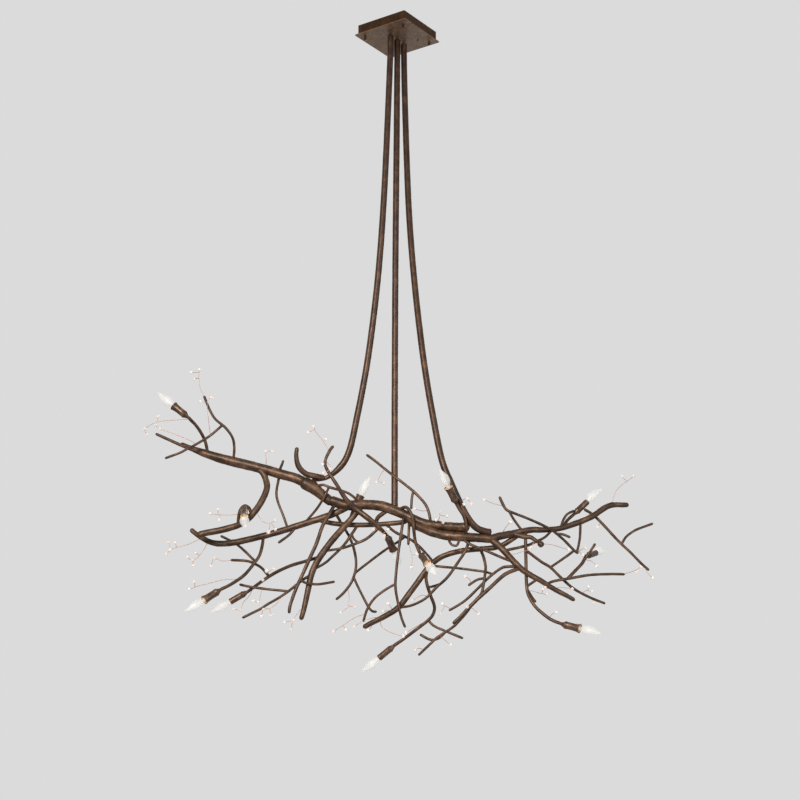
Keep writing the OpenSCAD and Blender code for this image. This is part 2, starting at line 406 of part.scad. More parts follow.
// Crystal sprays: the bar that each grows from, its wire, and the beads beside
// the one at the wire's end. A fourth value of 1 marks a large bead.
sprays = [
    [twig_fork, [[-650, 1362], [-665, 1324, -48], [-672, 1290, -50], [-670, 1258, -52]],
        [[-698, 1268, -60], [-686, 1292, -40]]],
    [twig_left_cross, [[-630, 1487], [-634, 1436, -52], [-640, 1372, -58], [-626, 1356, -58]],
        [[-663, 1370, -60]]],
    [arm_lines[0], [[-698, 1432], [-745, 1434, -42], [-805, 1441, -46], [-846, 1464, -48]],
        [[-838, 1484, -52], [-805, 1421, -46]]],
    [twig_left_cross, [[-675, 1516], [-700, 1502, -34], [-743, 1484, -34], [-796, 1464, -32]],
        [[-812, 1452, -30]]],
    [trunk_left_line, [[-440, 1602], [-437, 1573, -8], [-439, 1542, -10]], [[-418, 1542, -12]]],
    [crossing_line, [[-228, 1542], [-247, 1508, -46], [-271, 1478, -50], [-281, 1456, -52]],
        [[-298, 1476, -52], [-238, 1500, -44]]],
    [crossing_line, [[-240, 1576], [-226, 1588, -58], [-222, 1602, -60]],
        [[-246, 1616, -60], [-248, 1586, -62]]],
    [twig_cross, [[-43, 1600], [-52, 1616, -24], [-68, 1648, -28]], [[-44, 1650, -28]]],
    [trunk_center_line, [[128, 1792], [140, 1768, -66], [143, 1747, -66]],
        [[130, 1774, -72], [166, 1762, -62], [152, 1784, -72]]],
    [twig_cross, [[108, 1746], [84, 1744, -44], [58, 1738, -48]], []],
    [stem_right_line, [[208, 1712], [224, 1704, -112], [234, 1703, -114]],
        [[246, 1720, -112], [222, 1722, -116]]],
    [twig_high, [[354, 1728], [330, 1722, -98], [310, 1716, -98], [290, 1706, -98]], []],
    [trunk_right_line, [[344, 1827], [362, 1795, -104], [376, 1782, -106]], []],
    [stub_line, [[444, 1833], [452, 1846, -112], [442, 1866, -114]], []],
    [stub_line, [[476, 1856], [505, 1856, -98], [540, 1866, -92], [566, 1874, -88]], []],
    [trunk_right_line, [[711, 1725], [725, 1682, 30], [746, 1658, 28], [774, 1638, 26],
        [788, 1626, 26]], [[750, 1628, 30]]],
    [twig_far, [[668, 1774], [672, 1784, 4], [664, 1798, 0]], []],
    [twig_high, [[595, 1885], [608, 1872, -62], [622, 1868, -66]], [[612, 1892, -70]]],
    [sprout_line, [[738, 1955], [775, 1945, -36], [802, 1931, -34]], [[788, 1948, -40]]],
    [twig_far, [[815, 1930], [822, 1950, -12], [840, 1968, -14]], []],
    [arm_lines[10], [[618, 1910], [640, 1912, -66], [656, 1928, -68]], []],
    [trunk_lower_line, [[499, 1994], [496, 2002, -126], [486, 1998, -128]], []],
    [trunk_lower_line, [[515, 2003], [535, 1998, -126], [574, 2003, -124]], []],
    [twig_arrow, [[608, 2019], [622, 2008, -68], [638, 2012, -70]], [[628, 1996, -70]]],
    [arm_lines[8], [[427, 2012], [443, 2010, -110], [470, 2018, -114], [492, 2022, -114]],
        [[478, 2004, -120]]],
    [twig_arrow, [[634, 2031], [642, 2048, -62]], []],
    [arm_lines[8], [[495, 2097], [508, 2084, -136], [520, 2080, -138]], []],
    [low_left_line, [[-640, 1836], [-682, 1853, 10], [-715, 1863, 6], [-748, 1873, 4]],
        [[-754, 1848, 4], [-760, 1888, 0], [-732, 1850, 12]]],
    [low_left_line, [[-622, 1849], [-641, 1880, 14], [-656, 1899, 10], [-673, 1909, 8]],
        [[-690, 1899, 8], [-669, 1926, 4], [-662, 1884, 20]]],
    [left_twig_lines[6], [[-545, 1908], [-575, 1911, -24], [-601, 1902, -26]], [[-612, 1928, -24]]],
    [arm_lines[1], [[-524, 1756], [-559, 1758, -54], [-599, 1756, -56], [-620, 1753, -56]],
        [[-594, 1738, -58], [-588, 1774, -54]]],
    [hook_limb_line, [[-470, 1744], [-446, 1778, -32], [-419, 1786, -34], [-403, 1776, -36]],
        [[-425, 1815, -30, 1], [-402, 1806, -30]]],
    [arm_lines[2], [[-520, 1972], [-563, 1972, -46], [-606, 1982, -48], [-645, 1992, -50],
        [-681, 2003, -50]], [[-666, 1980, -54]]],
    [twig_bow_side, [[-441, 1999], [-446, 2022, -16], [-453, 2046, -18]], [[-470, 2042, -18]]],
    [arm_lines[3], [[-470, 1999], [-484, 2026, 40], [-503, 2048, 20], [-511, 2072, 14]],
        [[-534, 2068, 16]]],
    [arm_lines[3], [[-420, 1961], [-424, 1950, 22], [-428, 1944, 20, 1]],
        [[-408, 1938, 26], [-440, 1974, 24]]],
    [twig_bow, [[-372, 2021], [-392, 2050, -28], [-414, 2068, -30], [-436, 2070, -34]],
        [[-442, 2092, -26], [-411, 2088, -28]]],
    [drop_limb_line, [[-304, 2058], [-322, 2080, -42], [-338, 2106, -44]],
        [[-366, 2112, -44], [-345, 2134, -42]]],
    [twig_long_fall, [[-158, 1996], [-156, 2035, 42], [-162, 2064, 38], [-184, 2080, 36]],
        [[-137, 2062, 38]]],
    [twig_front_side, [[-104, 2082], [-136, 2096, -18], [-170, 2118, -20], [-206, 2141, -20]],
        [[-166, 2136, -16]]],
    [long_limb_line, [[-50, 2097], [-80, 2098, -34], [-110, 2108, -36], [-139, 2126, -36]], []],
    [long_limb_line, [[-20, 2079], [-19, 2064, -18], [-30, 2050, -22]], [[-45, 2076, -24]]],
    [long_limb_line, [[-80, 2112], [-84, 2128, -22], [-94, 2138, -24]], []],
    [long_limb_line, [[-56, 2101], [-50, 2126, -22], [-22, 2144, -26], [20, 2158, -28]], []],
    [long_drop_line, [[102, 2102], [62, 2126, 10], [30, 2146, -4]], []],
    [crossing_line, [[-60, 1800], [-56, 1812, -40], [-42, 1826, -40]],
        [[-30, 1806, -38], [-78, 1806, -50]]],
    [center_twig_lines[4], [[38, 1852], [46, 1880, -42], [50, 1905, -44], [47, 1932, -44]],
        [[64, 1888, -46]]],
    [twig_lower, [[173, 2071], [156, 2058, -42], [148, 2052, -44]], [[143, 2084, -36]]],
    [low_right_line, [[236, 2062], [248, 2068, -112], [266, 2085, -112]], [[230, 2062, -120]]],
    [twig_down, [[142, 2154], [158, 2172, -46], [174, 2184, -48]], []],
    [twig_down, [[86, 2203], [70, 2196, -34], [60, 2202, -34]], []],
    [twig_down_side, [[245, 1985], [238, 1972, -90], [224, 1962, -92]], []],
    [twig_right_fall, [[98, 2030], [80, 2024, -50], [50, 2042, -52]], []],
    [trunk_lower_line, [[356, 1880], [385, 1888, -102], [412, 1880, -102], [439, 1874, -104]],
        []]];

function spray_wire(s) = from(s[0], s[1]);
function spray_end(s) = s[1][len(s[1]) - 1];
function bead_size(p) = p[3] == 1 ? big_bead_d : bead_d;

module bronze_bar(line, sizes, sides = 6) {
    color(bronze) bar(line, sizes, sides);
}

// Canopy
box_side = plate_side - 2 * plate_lip;
stud_place = plate_side / 2 - stud_inset;
nut_len = nut_neck + ball_nut_d * 0.85;
corner_r = 4;
// Two small screws: thickness, hole, width and height of the head
ground_screw = [4, 4.2, 9, 3];
ground_spot = [-50, 30];
plate_screw = [3.3, 3.6, 7.5, 2];
plate_spot = [50, -55];
screw_rest = 4;
// The block where the lamp wires meet the supply wires
block = [44, 16, 13];
block_spot = [0, -52];
block_top = -bracket_t;
lead_d = 3;
lead_hole = lead_d + 0.6;
lead_spread = 13;
lead_depth = 8;
nipple_rest = 3;
nipple_top = plate_t + locknut_h + nipple_rest;
// How far a cutter runs past a face
past = 1;

module turned() {
    rotate([0, 0, canopy_turn]) children();
}
module at_corners() {
    for (x = [-1, 1], y = [-1, 1]) translate([x * stud_place, y * stud_place, 0]) children();
}
module at_stems() {
    for (k = [-1 : 1]) translate([k * stem_pitch, 0, 0]) children();
}
module round_square(side, r) {
    square([side, side - 2 * r], center = true);
    square([side - 2 * r, side], center = true);
    for (x = [-1, 1], y = [-1, 1])
        translate([x * (side / 2 - r), y * (side / 2 - r)]) circle(r, $fn = 48);
}

module ceiling_bracket() {
    color(steel) turned() translate([0, 0, -bracket_t]) linear_extrude(bracket_t) difference() {
        round_square(bracket_side, corner_r);
        circle(d = wire_way_d, $fn = 72);
        for (x = [-1, 1]) translate([x * bolt_span / 2, 0]) circle(d = bolt_hole_d, $fn = 48);
        translate(ground_spot) circle(d = ground_screw[1], $fn = 48);
    }
}
module canopy_studs() {
    color(steel) turned() at_corners() translate([0, 0, -hung - nut_len * 0.55])
        cylinder(d = stud_d, h = hung - bracket_t + nut_len * 0.55, $fn = 48);
}
module canopy_box() {
    color(bronze) turned() translate([0, 0, -box_h]) linear_extrude(box_h) difference() {
        round_square(box_side, corner_r);
        round_square(box_side - 2 * box_wall, corner_r - box_wall);
    }
}
module canopy_plate() {
    color(bronze) turned() translate([0, 0, -hung]) difference() {
        linear_extrude(plate_t) round_square(plate_side, corner_r);
        translate([0, 0, -past]) {
            at_corners() cylinder(d = stud_d + stud_play, h = plate_t + 2 * past, $fn = 48);
            at_stems() cylinder(d = nipple_d + stud_play, h = plate_t + 2 * past, $fn = 48);
            translate([plate_spot[0], plate_spot[1], 0])
                cylinder(d = plate_screw[1], h = plate_t + 2 * past, $fn = 48);
        }
    }
}
module small_screws() {
    color(steel) turned() {
        translate([ground_spot[0], ground_spot[1], -bracket_t]) {
            cylinder(d = ground_screw[0], h = bracket_t - 0.5, $fn = 48);
            translate([0, 0, -ground_screw[3]])
                cylinder(d = ground_screw[2], h = ground_screw[3], $fn = 6);
        }
        translate([plate_spot[0], plate_spot[1], -hung]) {
            cylinder(d = plate_screw[0], h = plate_t + screw_rest, $fn = 48);
            translate([0, 0, -plate_screw[3]])
                cylinder(d = plate_screw[2], h = plate_screw[3], $fn = 48);
        }
    }
}
module thumb_nuts() {
    color(bronze) turned() at_corners() translate([0, 0, -hung]) difference() {
        union() {
            translate([0, 0, -nut_neck]) cylinder(d1 = ball_nut_d * 0.6, d2 = ball_nut_d * 0.8,
                h = nut_neck, $fn = 48);
            translate([0, 0, ball_nut_d / 2 - nut_len]) sphere(d = ball_nut_d, $fn = 48);
        }
        translate([0, 0, -nut_len * 0.6])
            cylinder(d = stud_d + ring_play, h = nut_len, $fn = 48);
    }
}
module stem(k, line, sizes) {
    color(bronze) difference() {
        union() {
            tube(line, sizes, 10, stem_wall);
            translate(stem_top(k) - [0, 0, collar_h]) cylinder(d = collar_d, h = collar_h, $fn = 72);
            translate(stem_top(k) - [0, 0, 2])
                cylinder(d = nipple_d, h = nipple_top + 2, $fn = 48);
        }
        translate(stem_top(k) - [0, 0, collar_h + past])
            cylinder(d = nipple_bore, h = nipple_top + collar_h + 2 * past, $fn = 48);
    }
}
module stem_left() {
    stem(-1, stem_left_line, stem_d * [1, 1, 1, 1, 1, 1, 1, 1, 1, 0.65, 0.55]);
}
module stem_center() {
    stem(0, stem_center_line, [stem_d, stem_d, stem_d]);
}
module stem_right() {
    stem(1, stem_right_line, [stem_d, stem_d, stem_d * 1.05]);
}
module stem_locknuts() {
    color(brass) turned() at_stems() translate([0, 0, -box_h]) difference() {
        cylinder(d = locknut_af / cos(30), h = locknut_h, $fn = 6);
        translate([0, 0, -past])
            cylinder(d = nipple_d + ring_play, h = locknut_h + 2 * past, $fn = 48);
    }
}
module terminal_block() {
    color("#e6e0d2") turned() translate([block_spot[0], block_spot[1], block_top - block[2]])
        difference() {
            translate([-block[0] / 2, -block[1] / 2, 0]) cube(block);
            for (k = [-1 : 1]) translate([k * lead_spread, block[1] / 2 - lead_depth, block[2] / 2])
                rotate([-90, 0, 0]) cylinder(d = lead_hole, h = lead_depth + past, $fn = 48);
        }
}
module lead_wires() {
    rise = nipple_top - hung;
    entry = block_spot[1] + block[1] / 2;
    color("#d8cfc0") turned() for (k = [-1 : 1]) bar(smooth([
        [k * stem_pitch, 0, rise - 8], [k * stem_pitch, -1, rise + 1],
        [k * (stem_pitch * 0.8 + 2), -12, rise + 7], [k * lead_spread * 1.3, -28, block_top - 8],
        [k * lead_spread, entry + 5, block_top - block[2] / 2],
        [k * lead_spread, entry + 2 - lead_depth, block_top - block[2] / 2]], 1),
        [lead_d, lead_d], 6);
}

// Lamps
shell_r = base_d / 2 + ring_play;
insert_r = shell_r + shell_t + ring_play + insert_wall;
function cup_r(flared) = insert_r + ring_play + cup_wall + (flared ? cast_extra : 0);
bulb_seat = cup_cone + insert_floor + contact_h + 0.3;
mouth_step = 9;
flare_len = 16;
lip_len = 7;

module at_lamp(k) {
    d = facing(k);
    translate(tail(k)) rotate([0, acos(d[2]), atan2(d[1], d[0])]) children();
}
module cup(flared) {
    w = flared ? cup_flare / 2 : 0;
    r = cup_r(flared);
    inner = insert_r + ring_play;
    rotate_extrude($fn = 72) polygon([[0, 0], [arm_d / 2 + 0.5, 0],
        [r - 1, cup_cone - 3], [r + 0.6, cup_cone - 1.5], [r, cup_cone + 1],
        [r, cup_len - flare_len], [r + w * 0.25, cup_len - lip_len], [r + w, cup_len],
        [r + w - cup_wall, cup_len], [inner + w * 0.25, cup_len - lip_len],
        [inner, cup_len - flare_len], [inner, cup_cone], [0, cup_cone]]);
}
module socket_cups() {
    color(bronze) for (k = [0 : len(lamps) - 1]) at_lamp(k) cup(lamps[k][2]);
}
// The sleeve of a flared cup opens out and lines the cup's mouth
module insert(flared) {
    w = flared ? cup_flare / 2 : 0;
    inner = insert_r - insert_wall;
    top = cup_len - cup_cone;
    mouth = flared ? cup_r(true) + w - cup_wall - ring_play - 0.5 : insert_r;
    rotate_extrude($fn = 72) polygon([[0, 0], [insert_r, 0], [insert_r, top - flare_len],
        [insert_r + w * 0.25, top - lip_len - 0.5], [mouth, top - 1], [mouth - 0.7, top - 1],
        [inner, top - mouth_step], [inner, insert_floor], [0, insert_floor]]);
}
module socket_inserts() {
    color("#b58a5a") for (k = [0 : len(lamps) - 1]) at_lamp(k) translate([0, 0, cup_cone])
        insert(lamps[k][2]);
}
module socket_contacts() {
    color(brass) for (k = [0 : len(lamps) - 1]) at_lamp(k)
        translate([0, 0, cup_cone + insert_floor]) {
            difference() {
                cylinder(r = shell_r + shell_t, h = base_len - 1, $fn = 72);
                translate([0, 0, -past]) cylinder(r = shell_r, h = base_len + past, $fn = 72);
            }
            cylinder(d = 4, h = contact_h, $fn = 48);
        }
}
module bulb_base(k) {
    color(brass) at_lamp(k) translate([0, 0, bulb_seat]) rotate_extrude($fn = 72)
        polygon([[0, 0], [2.2, 0], [2.6, 1], [2.6, 2], [base_d / 2 - 1.2, 4.5],
            [base_d / 2, 5.5], [base_d / 2, base_len], [0, base_len]]);
}
neck_r = base_d / 2 - 0.4;
// Outline of the glass: share of the length, share of the way from neck to belly
glass_steps = [[0, 0], [0.06, 0.06], [0.12, 0.19], [0.19, 0.46], [0.27, 0.76], [0.35, 0.94],
    [0.44, 1], [0.55, 0.93], [0.66, 0.7], [0.77, 0.34]];
function glass_outline(in) = concat(
    [for (s = glass_steps)
        [neck_r - in + s[1] * (bulb_d / 2 - neck_r), s[0] * bulb_len]],
    [[neck_r * 0.8 - in, 0.88 * bulb_len], [neck_r * 0.4 - in * 0.3, 0.96 * bulb_len - in]]);
module bulb_glass(k) {
    outside = glass_outline(0);
    inside = glass_outline(glass_t);
    color("#eef1f2", 0.5) at_lamp(k) translate([0, 0, bulb_seat + base_len])
        rotate_extrude($fn = 72) polygon(concat(outside,
            [[0.8, bulb_len], [0, bulb_len], [0, 0.97 * bulb_len - glass_t * 2]],
            [for (i = [len(inside) - 1 : -1 : 0]) inside[i]]));
}

// Branches
module trunk_left() {
    bronze_bar(trunk_left_line, trunk_d * [0.34, 0.55, 0.82, 1, 1.02, 1.02, 1.02, 1.02, 1.04], 12);
}
module trunk_sleeve() {
    bronze_bar(sleeve_line, sleeve_d * [1, 1.05, 0.9, 0.8, 0.74], 12);
}
module trunk_center() {
    bronze_bar(trunk_center_line, trunk_d * [1.03, 1.03, 0.95, 0.98], 12);
}
module trunk_right() {
    shares = [0.75, 0.85, 0.9, 0.92, 0.92, 0.88, 0.8, 0.7, 0.6, 0.56, 0.58, 0.62, 0.62, 0.58, 0.48];
    bronze_bar(trunk_right_line, trunk_d * shares, 10);
}
module trunk_lower() {
    bronze_bar(trunk_lower_line, limb_d * [1.1, 1.02, 0.83, 0.6], 10);
}
module hook_limb() {
    bronze_bar(hook_limb_line, limb_d * [1.02, 1.02], 8);
}
module low_left_limb() {
    bronze_bar(low_left_line, limb_d * [1.1, 1.05, 1, 0.75], 8);
}
module crossing_limb() {
    bronze_bar(crossing_line, [twig_d * 1.1, twig_d * 1.1, arm_d, limb_d * 0.85, limb_d * 0.93, arm_d], 8);
}
module drop_limb() {
    bronze_bar(drop_limb_line, limb_d * [0.95, 1.05, 1, 0.7], 8);
}
module tie_limb() {
    bronze_bar(tie_line, limb_d * [0.8, 0.8], 8);
}
module long_limb() {
    bronze_bar(long_limb_line, limb_d * [0.8, 0.85, 0.9, 0.94, 0.76], 8);
}
module low_right_limb() {
    bronze_bar(low_right_line, limb_d * [0.62, 0.57], 8);
}
module short_limbs() {
    color(bronze) {
        bar(stem_hook_line, limb_d * [0.9, 0.93, 0.9, 0.6], 8);
        bar(trunk_rod_line, arm_d * [0.9, 1, 1.2]);
        bar(front_drop_line, limb_d * [0.6, 0.6, 0.5], 8);
        bar(tie_fork_line, limb_d * [0.68, 0.68]);
        bar(stub_line, limb_d * [0.86, 0.69, 0.64], 8);
        translate(stub_line[len(stub_line) - 1]) sphere(d = limb_d * 1.07, $fn = 48);
    }
}
module lamp_arms() {
    color(bronze) for (line = arm_lines) bar(line, [arm_d, arm_d]);
}
module left_twigs() {
    color(bronze) for (line = left_twig_lines) bar(line, [twig_d, twig_d * tip_share]);
}
module center_twigs() {
    color(bronze) for (line = center_twig_lines) bar(line, [twig_d * 1.05, twig_d * tip_share]);
}
module right_twigs() {
    color(bronze) for (line = right_twig_lines) bar(line, [twig_d * 1.05, twig_d * tip_share]);
}
module side_twigs() {
    color(bronze) for (line = concat(side_twig_lines, [bow_line]))
        bar(line, [twig_d * 0.9, twig_d * tip_share]);
}

// Crystals
module crystal_wires() {
    color(copper) for (s = sprays) {
        wire = spray_wire(s);
        bar(wire, [wire_d, wire_d], 4);
        for (b = s[2]) bar([on(wire, b[0], b[1]), place(b)], [wire_d, wire_d], 4);
    }
}
module crystal_beads() {
    color("#f2f6fa", 0.6) for (s = sprays, b = concat([spray_end(s)], s[2]))
        translate(place(b)) sphere(d = bead_size(b), $fn = 32);
}

ceiling_bracket();
small_screws();
terminal_block();
lead_wires();
canopy_studs();
canopy_box();
canopy_plate();
thumb_nuts();
stem_locknuts();
stem_left();
stem_center();
stem_right();
trunk_left();
trunk_sleeve();
trunk_center();
trunk_right();
trunk_lower();
hook_limb();
low_left_limb();
crossing_limb();
drop_limb();
tie_limb();
long_limb();
low_right_limb();
short_limbs();
lamp_arms();
left_twigs();
center_twigs();
right_twigs();
side_twigs();
socket_cups();
socket_inserts();
socket_contacts();
crystal_wires();
crystal_beads();
bulb_base(0);  // bulb_1_base
bulb_glass(0);  // bulb_1_glass
bulb_base(1);  // bulb_2_base
bulb_glass(1);  // bulb_2_glass
bulb_base(2);  // bulb_3_base
bulb_glass(2);  // bulb_3_glass
bulb_base(3);  // bulb_4_base
bulb_glass(3);  // bulb_4_glass
bulb_base(4);  // bulb_5_base
bulb_glass(4);  // bulb_5_glass
bulb_base(5);  // bulb_6_base
bulb_glass(5);  // bulb_6_glass
bulb_base(6);  // bulb_7_base
bulb_glass(6);  // bulb_7_glass
bulb_base(7);  // bulb_8_base
bulb_glass(7);  // bulb_8_glass
bulb_base(8);  // bulb_9_base
bulb_glass(8);  // bulb_9_glass
bulb_base(9);  // bulb_10_base
bulb_glass(9);  // bulb_10_glass
bulb_base(10);  // bulb_11_base
bulb_glass(10);  // bulb_11_glass
bulb_base(11);  // bulb_12_base
bulb_glass(11);  // bulb_12_glass
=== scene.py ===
import bpy, bmesh, json, math, random
from mathutils import Matrix, Vector


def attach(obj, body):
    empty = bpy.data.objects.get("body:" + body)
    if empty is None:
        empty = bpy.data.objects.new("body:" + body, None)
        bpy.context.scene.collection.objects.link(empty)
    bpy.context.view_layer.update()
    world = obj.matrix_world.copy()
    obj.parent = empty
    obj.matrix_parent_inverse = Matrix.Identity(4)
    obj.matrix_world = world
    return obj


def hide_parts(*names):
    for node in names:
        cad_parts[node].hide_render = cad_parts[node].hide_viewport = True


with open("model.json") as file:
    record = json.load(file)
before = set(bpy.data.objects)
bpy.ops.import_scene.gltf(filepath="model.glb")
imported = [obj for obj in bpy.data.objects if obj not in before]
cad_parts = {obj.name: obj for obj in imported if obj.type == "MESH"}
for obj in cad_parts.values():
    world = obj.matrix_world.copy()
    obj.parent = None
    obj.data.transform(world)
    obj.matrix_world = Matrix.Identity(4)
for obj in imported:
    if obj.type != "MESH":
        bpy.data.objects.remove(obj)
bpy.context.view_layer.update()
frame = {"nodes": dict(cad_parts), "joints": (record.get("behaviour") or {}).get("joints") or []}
cadNodes = frame["nodes"]
scene = bpy.context.scene
scene.view_settings.view_transform = "Standard"
print("frame loaded:", len(cadNodes), "nodes")


# camera where the photographer stood, looking up at the ceiling fixture
cameraSet = {"place": (0.0097, -5.231, -2.703), "pitch": 14.27, "lens": 72.0, "sensor": 36, "farthest": 60}
cameraData = bpy.data.cameras.new("photoCamera")
cameraData.lens = cameraSet["lens"]
cameraData.sensor_width = cameraSet["sensor"]
cameraData.clip_end = cameraSet["farthest"]
photoCamera = bpy.data.objects.new("photoCamera", cameraData)
photoCamera.location = cameraSet["place"]
photoCamera.rotation_euler = (math.radians(90 + cameraSet["pitch"]), 0, 0)
scene.collection.objects.link(photoCamera)
scene.camera = photoCamera


def linearOf(hexColor, alpha=1.0):
    # turns a written colour such as 4a3528 into the linear value that a shader takes
    parts = [int(hexColor[i:i + 2], 16) / 255 for i in (0, 2, 4)]
    return [p / 12.92 if p <= 0.04045 else ((p + 0.055) / 1.055) ** 2.4 for p in parts] + [alpha]


class Shader:
    # one material and its nodes, built with short calls
    def __init__(self, name):
        self.material = bpy.data.materials.new(name)
        self.material.use_nodes = True
        self.tree = self.material.node_tree
        self.face = self.tree.nodes["Principled BSDF"]
        self.where = self.add("ShaderNodeTexCoord").outputs["Object"]

    def add(self, kind, **settings):
        node = self.tree.nodes.new(kind)
        for key, value in settings.items():
            setattr(node, key, value)
        return node

    def join(self, source, target):
        self.tree.links.new(source, target)

    def noise(self, scale, detail=4.0, rough=0.55, where=None, stretch=None):
        node = self.add("ShaderNodeTexNoise")
        node.inputs["Scale"].default_value = scale
        node.inputs["Detail"].default_value = detail
        node.inputs["Roughness"].default_value = rough
        source = where or self.where
        if stretch:
            mapping = self.add("ShaderNodeMapping")
            mapping.inputs["Scale"].default_value = stretch
            self.join(source, mapping.inputs["Vector"])
            source = mapping.outputs["Vector"]
        self.join(source, node.inputs["Vector"])
        return node.outputs["Fac"]

    def attribute(self, name):
        return self.add("ShaderNodeAttribute", attribute_name=name).outputs["Vector"]

    def ramp(self, source, stops):
        node = self.add("ShaderNodeValToRGB")
        edges = node.color_ramp.elements
        while len(edges) < len(stops):
            edges.new(0.5)
        for edge, (place, color) in zip(edges, stops):
            edge.position, edge.color = place, color
        self.join(source, node.inputs["Fac"])
        return node.outputs["Color"]

    def span(self, source, low, high, fromLow=0.3, fromHigh=0.7):
        node = self.add("ShaderNodeMapRange")
        limits = {"From Min": fromLow, "From Max": fromHigh, "To Min": low, "To Max": high}
        for key, value in limits.items():
            node.inputs[key].default_value = value
        self.join(source, node.inputs["Value"])
        return node.outputs["Result"]

    def bump(self, source, strength, distance):
        node = self.add("ShaderNodeBump")
        node.inputs["Strength"].default_value = strength
        node.inputs["Distance"].default_value = distance
        self.join(source, node.inputs["Height"])
        if self.face.inputs["Normal"].is_linked:
            self.join(self.face.inputs["Normal"].links[0].from_socket, node.inputs["Normal"])
        self.join(node.outputs["Normal"], self.face.inputs["Normal"])

    def fixed(self, **values):
        for key, value in values.items():
            self.face.inputs[key.replace("_", " ")].default_value = value


# scale, detail and roughness of each noise; stops are where the three tones of the paint lie
bronzeSet = {"streak": (90, 6, 0.62), "blotch": (26, 4, 0.6), "speck": (420, 3, 0.6), "blotchShare": 0.45,
             "stops": (0.36, 0.5, 0.66), "metal": 0.28, "along": (0.32, 1.0, 1.0), "drop": (1, 1, 0.3),
             "barkBump": 0.7, "sheetBump": 0.3, "bumpDepth": 0.0014, "speckBump": 0.18, "speckDepth": 0.0004}


def forgedBronze(name, dark, middle, light, grain=None, gloss=(0.34, 0.5), shine=0.35):
    # dark bronze paint with rubbed streaks; grain names the attribute that runs along a branch
    shader = Shader(name)
    where = shader.attribute(grain) if grain else shader.where
    streak = shader.noise(*bronzeSet["streak"], where, bronzeSet["along" if grain else "drop"])
    blotch = shader.noise(*bronzeSet["blotch"])
    speck = shader.noise(*bronzeSet["speck"])
    mixed = shader.add("ShaderNodeMix", data_type="FLOAT")
    mixed.inputs["Factor"].default_value = bronzeSet["blotchShare"]
    shader.join(streak, mixed.inputs["A"])
    shader.join(blotch, mixed.inputs["B"])
    tone = mixed.outputs["Result"]
    paints = [linearOf(paint) for paint in (dark, middle, light)]
    colors = shader.ramp(tone, list(zip(bronzeSet["stops"], paints)))
    shader.join(colors, shader.face.inputs["Base Color"])
    shader.join(shader.span(speck, *gloss), shader.face.inputs["Roughness"])
    shader.bump(tone, bronzeSet["barkBump" if grain else "sheetBump"], bronzeSet["bumpDepth"])
    shader.bump(speck, bronzeSet["speckBump"], bronzeSet["speckDepth"])
    shader.fixed(Metallic=bronzeSet["metal"], Specular_IOR_Level=shine)
    return shader.material


def twoTone(shader, tone, colors, stops, rough, spread):
    # colour and roughness that both follow one noise
    paints = [linearOf(color) for color in colors]
    shader.join(shader.ramp(tone, list(zip(stops, paints))), shader.face.inputs["Base Color"])
    shader.join(shader.span(tone, rough, rough + spread), shader.face.inputs["Roughness"])


metalSet = {"detail": 5, "coarse": 0.6, "drawn": (1, 1, 0.25), "stops": (0.35, 0.7), "spread": 0.16,
            "bump": 0.12, "depth": 0.0003}


def plainMetal(name, color, light, rough, scale=160):
    shader = Shader(name)
    tone = shader.noise(scale, metalSet["detail"], metalSet["coarse"], stretch=metalSet["drawn"])
    twoTone(shader, tone, (color, light), metalSet["stops"], rough, metalSet["spread"])
    shader.bump(tone, metalSet["bump"], metalSet["depth"])
    shader.fixed(Metallic=1.0)
    return shader.material


matteSet = {"detail": 4, "coarse": 0.6, "stops": (0.35, 0.7), "spread": 0.12, "pores": (600, 2), "bump": 0.1,
            "depth": 0.0003}


def matteBody(name, color, light, rough=0.55, scale=70):
    shader = Shader(name)
    tone = shader.noise(scale, matteSet["detail"], matteSet["coarse"])
    twoTone(shader, tone, (color, light), matteSet["stops"], rough, matteSet["spread"])
    shader.bump(shader.noise(*matteSet["pores"]), matteSet["bump"], matteSet["depth"])
    return shader.material


# the last entry is the colour of the painted glow that the unlit glass is given
glassSet = {"haze": (60, 3, 0.5), "stops": (0.3, 0.7), "spread": 0.06, "thin": 0.85, "thick": 1.15,
            "bending": 1.45, "paintedGlowColor": "f4f4f4"}


def hazyGlass(name, color, light, rough, veil, coat=0.0, paintedGlow=0.0):
    # thin pale glass: veil is the share of light that a wall holds back; the glow is painted light, a weak
    # self-glow of the unlit glass that stands for light scattered in it
    shader = Shader(name)
    tone = shader.noise(*glassSet["haze"])
    twoTone(shader, tone, (color, light), glassSet["stops"], rough, glassSet["spread"])
    held = shader.span(tone, veil * glassSet["thin"], veil * glassSet["thick"])
    shader.join(held, shader.face.inputs["Alpha"])
    shader.fixed(IOR=glassSet["bending"], Coat_Weight=coat)
    shader.fixed(Emission_Color=linearOf(glassSet["paintedGlowColor"]), Emission_Strength=paintedGlow)
    return shader.material


